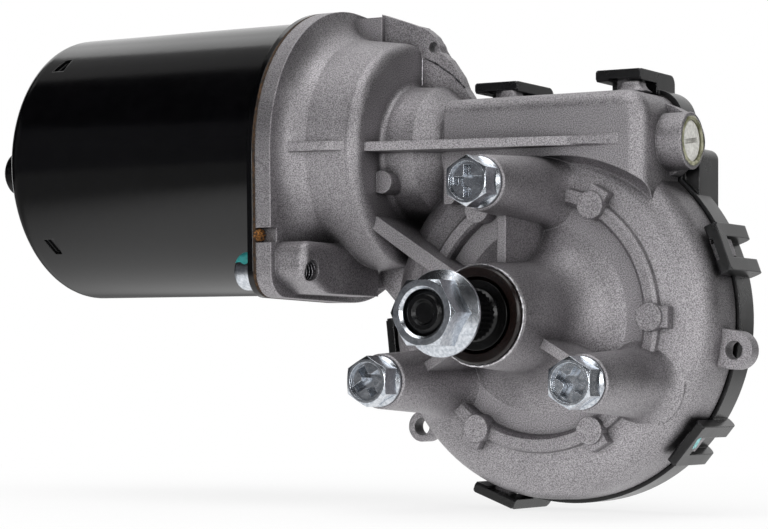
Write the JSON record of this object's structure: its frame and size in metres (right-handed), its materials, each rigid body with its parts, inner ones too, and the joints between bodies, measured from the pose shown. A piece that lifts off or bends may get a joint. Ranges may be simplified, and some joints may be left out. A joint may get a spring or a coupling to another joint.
{
  "type": "wiper motor",
  "caption": "Geared wiper motor: a steel motor can on a die-cast worm gearbox, with mounting bosses, a threaded crank shaft and a clipped-on rear cover with a connector.",
  "frame": {"origin": "on the output shaft's axis, in the plane of the three mounting bosses' faces", "axes": "-Y along the output shaft towards the crank nut, +X along the worm shaft away from the motor can, +Z from the output shaft towards the worm shaft"},
  "size_m": [0.215, 0.0987, 0.1211],
  "materials": {
    "cast_aluminium": "die cast, bead blasted",
    "black_coated_steel": "gloss black e-coat on deep-drawn steel",
    "gasket_card": "brown fibre gasket",
    "zinc_plate": "bright zinc plate on steel",
    "ferrite_magnet": "ground ferrite",
    "spring_steel": "plain steel",
    "sintered_bronze": "oil-soaked sintered bronze",
    "phenolic_board": "moulded phenolic",
    "carbon": "copper-graphite brush",
    "brass_sheet": "folded brass sheet",
    "enamelled_copper": "enamelled copper wire",
    "capacitor_resin": "dipped resin",
    "nylon_natural": "natural acetal",
    "thrust_plastic": "screw moulded in light grey plastic",
    "locking_lacquer": "screw-locking lacquer",
    "seal_rubber": "nitrile rubber",
    "cover_plastic": "glass-filled black plastic",
    "tinned_brass": "tinned brass strip",
    "ground_steel": "ground and rolled steel",
    "lamination_steel": "stacked electrical steel",
    "insulating_film": "slot-liner fibre",
    "commutator_copper": "turned copper",
    "dark_steel": "blackened steel",
    "black_ring": "black ring"
  },
  "bodies": {
    "housing": {"gear_housing": "cast_aluminium", "motor_can": "black_coated_steel", "can_gasket": "gasket_card", "can_screws": "zinc_plate", "field_magnets": "ferrite_magnet", "magnet_springs": "spring_steel", "can_bush": "sintered_bronze", "neck_bush": "sintered_bronze", "nose_bush": "sintered_bronze", "brush_card": "phenolic_board", "brushes": "carbon", "brush_holders": "brass_sheet", "brush_springs": "spring_steel", "choke_cores": "ferrite_magnet", "choke_coils": "enamelled_copper", "suppression_capacitor": "capacitor_resin", "thrust_pad": "nylon_natural", "thrust_screw": "thrust_plastic", "thrust_lock_ring": "locking_lacquer", "output_bushes": "sintered_bronze", "shaft_seal": "seal_rubber", "mounting_bolts": "zinc_plate", "rear_cover": "cover_plastic", "cover_gasket": "seal_rubber", "connector_pins": "tinned_brass", "brush_leads": "tinned_brass", "contact_fingers": "tinned_brass"},
    "armature": {"armature_shaft": "ground_steel", "armature_core": "lamination_steel", "armature_insulators": "insulating_film", "armature_windings": "enamelled_copper", "commutator_hub": "phenolic_board", "commutator_bars": "commutator_copper"},
    "output": {"output_shaft": "dark_steel", "drive_plate": "spring_steel", "worm_wheel": "nylon_natural", "park_disc": "tinned_brass", "crank_nut": "zinc_plate", "front_ring": "black_ring", "rear_ring": "spring_steel", "thrust_washer": "spring_steel"}
  },
  "joints": [
    {"name": "output_spin", "type": "hinge", "parent": "housing", "child": "output", "pos_m": [0, 0, 0], "axis": [0, -1, 0], "continuous": true},
    {"name": "armature_spin", "type": "hinge", "parent": "housing", "child": "armature", "pos_m": [0, 0.038, 0.0405], "axis": [1, 0, 0], "continuous": true}
  ],
  "couplings": [
    {"joint": "armature_spin", "follows": "output_spin", "ratio": 57}
  ]
}
